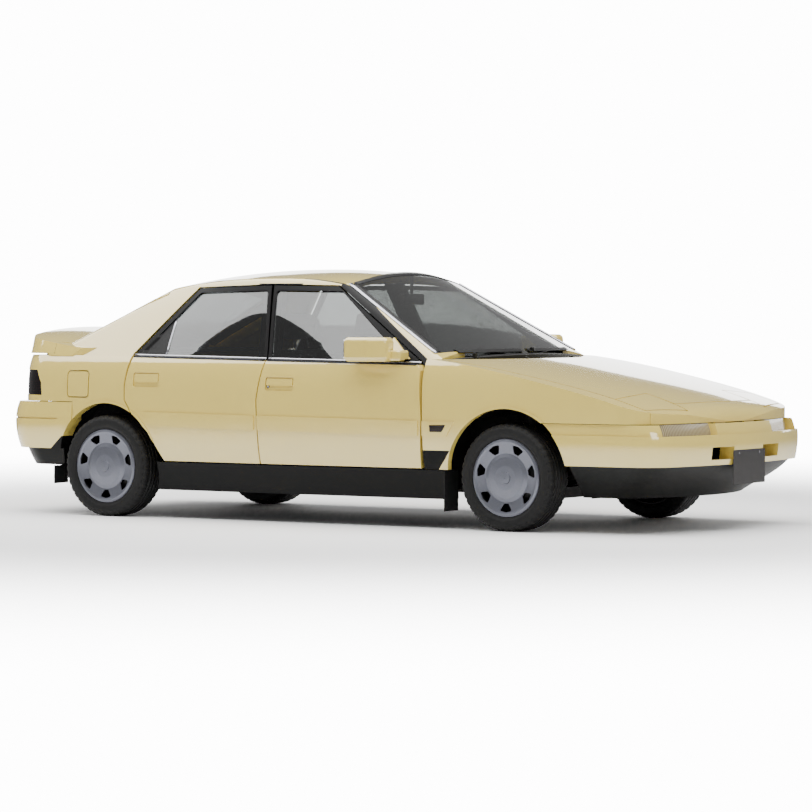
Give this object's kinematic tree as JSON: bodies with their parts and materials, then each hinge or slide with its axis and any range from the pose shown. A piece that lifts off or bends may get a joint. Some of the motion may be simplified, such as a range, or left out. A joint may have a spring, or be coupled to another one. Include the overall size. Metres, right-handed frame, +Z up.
{
  "type": "five-door hatchback car",
  "caption": "Low wedge-shaped five-door hatchback with pop-up headlamps, hinged doors, bonnet and tailgate, and steered front wheels.",
  "frame": {"origin": "on the ground under the middle of the overall length and width", "axes": "+X forward, +Y to the car's left, +Z up"},
  "size_m": [4.22, 1.8514, 1.31],
  "materials": {
    "body_paint": "gloss",
    "black_trim": "matte",
    "glass": "clear",
    "lamp_lens": "clear",
    "tail_lens": "gloss",
    "wheel_silver": "satin",
    "tyre": "matte",
    "steel": "satin",
    "cast": "matte",
    "underbody": "matte",
    "seat_cloth": "matte",
    "cabin_plastic": "matte",
    "tank_plastic": "matte",
    "rubber": "matte",
    "bumper_skin": "gloss"
  },
  "bodies": {
    "body": {"body_sides": "body_paint", "roof": "body_paint", "front_fenders": "body_paint", "nose_panel": "body_paint", "front_bumper": "bumper_skin", "rear_bumper": "bumper_skin", "air_dam": "black_trim", "cowl": "black_trim", "wipers": "black_trim", "windscreen": "glass", "front_lamps": "lamp_lens", "tail_lamps": "tail_lens", "front_subframe": "steel", "rear_axle": "steel", "exhaust": "steel", "engine": "cast", "floor_pan": "underbody", "fuel_tank": "tank_plastic", "mud_flaps": "rubber", "front_seats": "seat_cloth", "rear_seat": "seat_cloth", "dashboard": "cabin_plastic", "parcel_shelf": "cabin_plastic", "inside_mirror": "cabin_plastic"},
    "door_front_right": {"door_front_right": "body_paint", "glass_front_right": "glass", "mirror_right": "bumper_skin"},
    "door_front_left": {"door_front_left": "body_paint", "glass_front_left": "glass", "mirror_left": "bumper_skin"},
    "door_rear_right": {"door_rear_right": "body_paint", "glass_rear_right": "glass"},
    "door_rear_left": {"door_rear_left": "body_paint", "glass_rear_left": "glass"},
    "hatch": {"hatch": "body_paint", "hatch_glass": "glass", "rear_wiper": "black_trim"},
    "bonnet": {"bonnet": "body_paint"},
    "headlamp_right": {"headlamp_right": "body_paint"},
    "headlamp_left": {"headlamp_left": "body_paint"},
    "fuel_flap": {"fuel_flap": "body_paint"},
    "steering_wheel": {"steering_wheel": "cabin_plastic"},
    "knuckle_right": {"knuckle_right": "steel"},
    "knuckle_left": {"knuckle_left": "steel"},
    "wheel_front_right": {"wheel_front_right": "wheel_silver", "tyre_front_right": "tyre"},
    "wheel_front_left": {"wheel_front_left": "wheel_silver", "tyre_front_left": "tyre"},
    "wheel_rear_right": {"wheel_rear_right": "wheel_silver", "tyre_rear_right": "tyre"},
    "wheel_rear_left": {"wheel_rear_left": "wheel_silver", "tyre_rear_left": "tyre"}
  },
  "joints": [
    {"name": "door_front_right_hinge", "type": "hinge", "parent": "body", "child": "door_front_right", "pos_m": [0.6795, -0.8225, 0.56], "axis": [0, 0, 1], "range_deg": [0, 65]},
    {"name": "door_rear_right_hinge", "type": "hinge", "parent": "body", "child": "door_rear_right", "pos_m": [-0.2955, -0.8297, 0.56], "axis": [0, 0, 1], "range_deg": [0, 68]},
    {"name": "headlamp_right_tilt", "type": "hinge", "parent": "body", "child": "headlamp_right", "pos_m": [1.7415, -0.54, 0.688], "axis": [0, -1, 0], "range_deg": [0, 42]},
    {"name": "knuckle_right_steer", "type": "hinge", "parent": "body", "child": "knuckle_right", "pos_m": [1.17, -0.653, 0.268], "axis": [0, 0, 1], "range_deg": [-33, 33]},
    {"name": "wheel_front_right_spin", "type": "hinge", "parent": "knuckle_right", "child": "wheel_front_right", "pos_m": [1.17, -0.715, 0.268], "axis": [0, 1, 0], "continuous": true},
    {"name": "wheel_rear_right_spin", "type": "hinge", "parent": "body", "child": "wheel_rear_right", "pos_m": [-1.33, -0.715, 0.268], "axis": [0, 1, 0], "continuous": true},
    {"name": "door_front_left_hinge", "type": "hinge", "parent": "body", "child": "door_front_left", "pos_m": [0.6795, 0.8225, 0.56], "axis": [0, 0, -1], "range_deg": [0, 65]},
    {"name": "door_rear_left_hinge", "type": "hinge", "parent": "body", "child": "door_rear_left", "pos_m": [-0.2955, 0.8297, 0.56], "axis": [0, 0, -1], "range_deg": [0, 68]},
    {"name": "headlamp_left_tilt", "type": "hinge", "parent": "body", "child": "headlamp_left", "pos_m": [1.7415, 0.54, 0.688], "axis": [0, -1, 0], "range_deg": [0, 42]},
    {"name": "knuckle_left_steer", "type": "hinge", "parent": "body", "child": "knuckle_left", "pos_m": [1.17, 0.653, 0.268], "axis": [0, 0, 1], "range_deg": [-33, 33]},
    {"name": "wheel_front_left_spin", "type": "hinge", "parent": "knuckle_left", "child": "wheel_front_left", "pos_m": [1.17, 0.715, 0.268], "axis": [0, 1, 0], "continuous": true},
    {"name": "wheel_rear_left_spin", "type": "hinge", "parent": "body", "child": "wheel_rear_left", "pos_m": [-1.33, 0.715, 0.268], "axis": [0, 1, 0], "continuous": true},
    {"name": "hatch_hinge", "type": "hinge", "parent": "body", "child": "hatch", "pos_m": [-1.0855, 0, 1.2505], "axis": [0, 1, 0], "range_deg": [0, 72]},
    {"name": "bonnet_hinge", "type": "hinge", "parent": "body", "child": "bonnet", "pos_m": [0.7455, 0, 0.8535], "axis": [0, -1, 0], "range_deg": [0, 50]},
    {"name": "fuel_flap_hinge", "type": "hinge", "parent": "body", "child": "fuel_flap", "pos_m": [-1.45, -0.7945, 0.7], "axis": [0, 0, 1], "range_deg": [0, 85]},
    {"name": "steering_wheel_turn", "type": "hinge", "parent": "body", "child": "steering_wheel", "pos_m": [0.31, 0.355, 0.716], "axis": [-0.8829, 0, 0.4695], "range_deg": [-530, 530]}
  ],
  "couplings": [
    {"joint": "knuckle_left_steer", "follows": "knuckle_right_steer", "ratio": 1},
    {"joint": "steering_wheel_turn", "follows": "knuckle_right_steer", "ratio": 16},
    {"joint": "headlamp_left_tilt", "follows": "headlamp_right_tilt", "ratio": 1}
  ]
}
